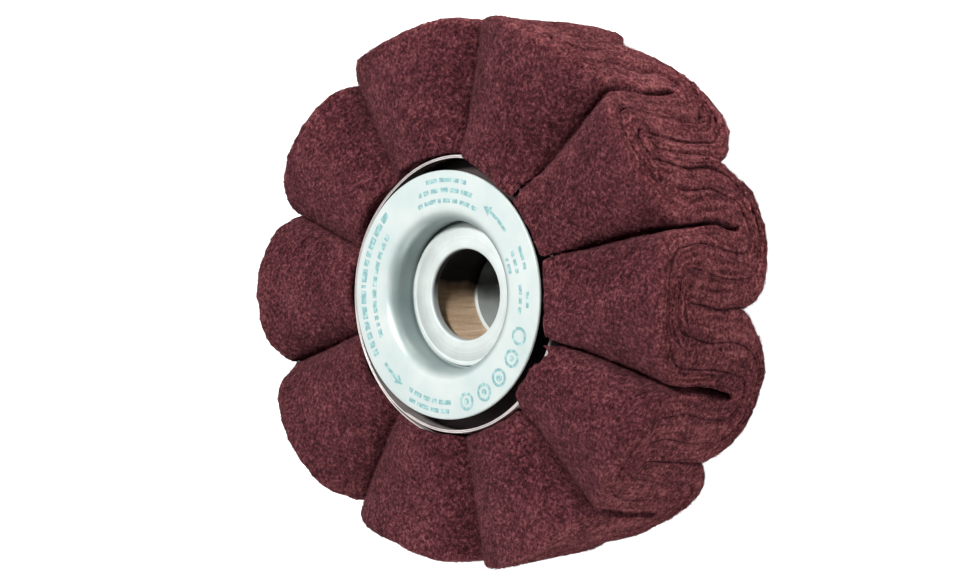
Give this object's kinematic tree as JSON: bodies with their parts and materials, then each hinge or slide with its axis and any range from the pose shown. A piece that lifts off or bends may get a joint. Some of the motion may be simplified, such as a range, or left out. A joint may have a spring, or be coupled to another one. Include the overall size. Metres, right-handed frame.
{
  "type": "non-woven abrasive drum",
  "caption": "Round finishing drum of pleated non-woven fleece petals on a dished steel hub with a plain through bore.",
  "frame": {"origin": "middle of the drum on its axis, halfway between the two faces", "axes": "+Z along the drum's axis to the printed front face; -X roughly towards the first crease of the fleece"},
  "size_m": [0.15, 0.15, 0.0516],
  "materials": {
    "fleece": "maroon non-woven web, matt and fibrous",
    "flange_lacquer": "white lacquer with pale green print",
    "bush_steel": "zinc plated, satin",
    "tube_steel": "bright rolled sheet",
    "core_board": "raw wound board"
  },
  "bodies": {
    "root": {"front_flange": "flange_lacquer", "rear_flange": "flange_lacquer", "front_bush": "bush_steel", "rear_bush": "bush_steel", "core": "core_board", "hub_tube": "tube_steel", "fleece_strip_front": "fleece", "fleece_strip_middle": "fleece", "fleece_strip_rear": "fleece"}
  },
  "joints": []
}
